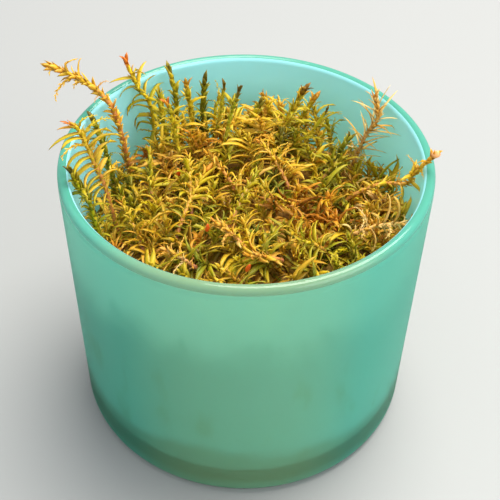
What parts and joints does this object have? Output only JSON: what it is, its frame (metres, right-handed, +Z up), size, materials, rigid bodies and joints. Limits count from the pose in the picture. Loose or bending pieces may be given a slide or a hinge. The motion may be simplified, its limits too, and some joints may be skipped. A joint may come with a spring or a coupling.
{
  "type": "moss clump in a glass cup",
  "caption": "Clump of leafy green and gold feather moss growing on soil in a straight-sided turquoise frosted glass cup, with taller shoots leaning out over the rim.",
  "frame": {"origin": "centre of the cup's flat underside", "axes": "+Z up along the cup's axis; the tallest shoots stand towards +Y, at the back, and one hangs out over the rim towards -X"},
  "size_m": [0.0831, 0.08, 0.0791],
  "materials": {
    "frosted_glass": "satin frosted outside, clear and glossy on the inner wall and rim",
    "soil": "matt, damp and crumbly",
    "moss_cushion": "soft, slightly glossy leaves over brown felted stems",
    "moss_shoot": "soft, slightly glossy leaves on brown stems"
  },
  "bodies": {
    "root": {"glass_cup": "frosted_glass", "soil_bed": "soil", "moss_cushion": "moss_cushion", "shoot_01_overhanging": "moss_shoot", "shoot_02": "moss_shoot", "shoot_03": "moss_shoot", "shoot_04": "moss_shoot", "shoot_05": "moss_shoot", "shoot_06": "moss_shoot", "shoot_07": "moss_shoot", "shoot_08": "moss_shoot", "shoot_09": "moss_shoot", "shoot_10": "moss_shoot", "shoot_11": "moss_shoot", "shoot_12": "moss_shoot", "shoot_13": "moss_shoot", "shoot_14": "moss_shoot", "shoot_15": "moss_shoot", "shoot_16": "moss_shoot", "shoot_17": "moss_shoot", "shoot_18": "moss_shoot", "shoot_19_feathery": "moss_shoot", "shoot_20_over_rim": "moss_shoot", "shoot_21": "moss_shoot", "shoot_22": "moss_shoot"}
  },
  "joints": []
}
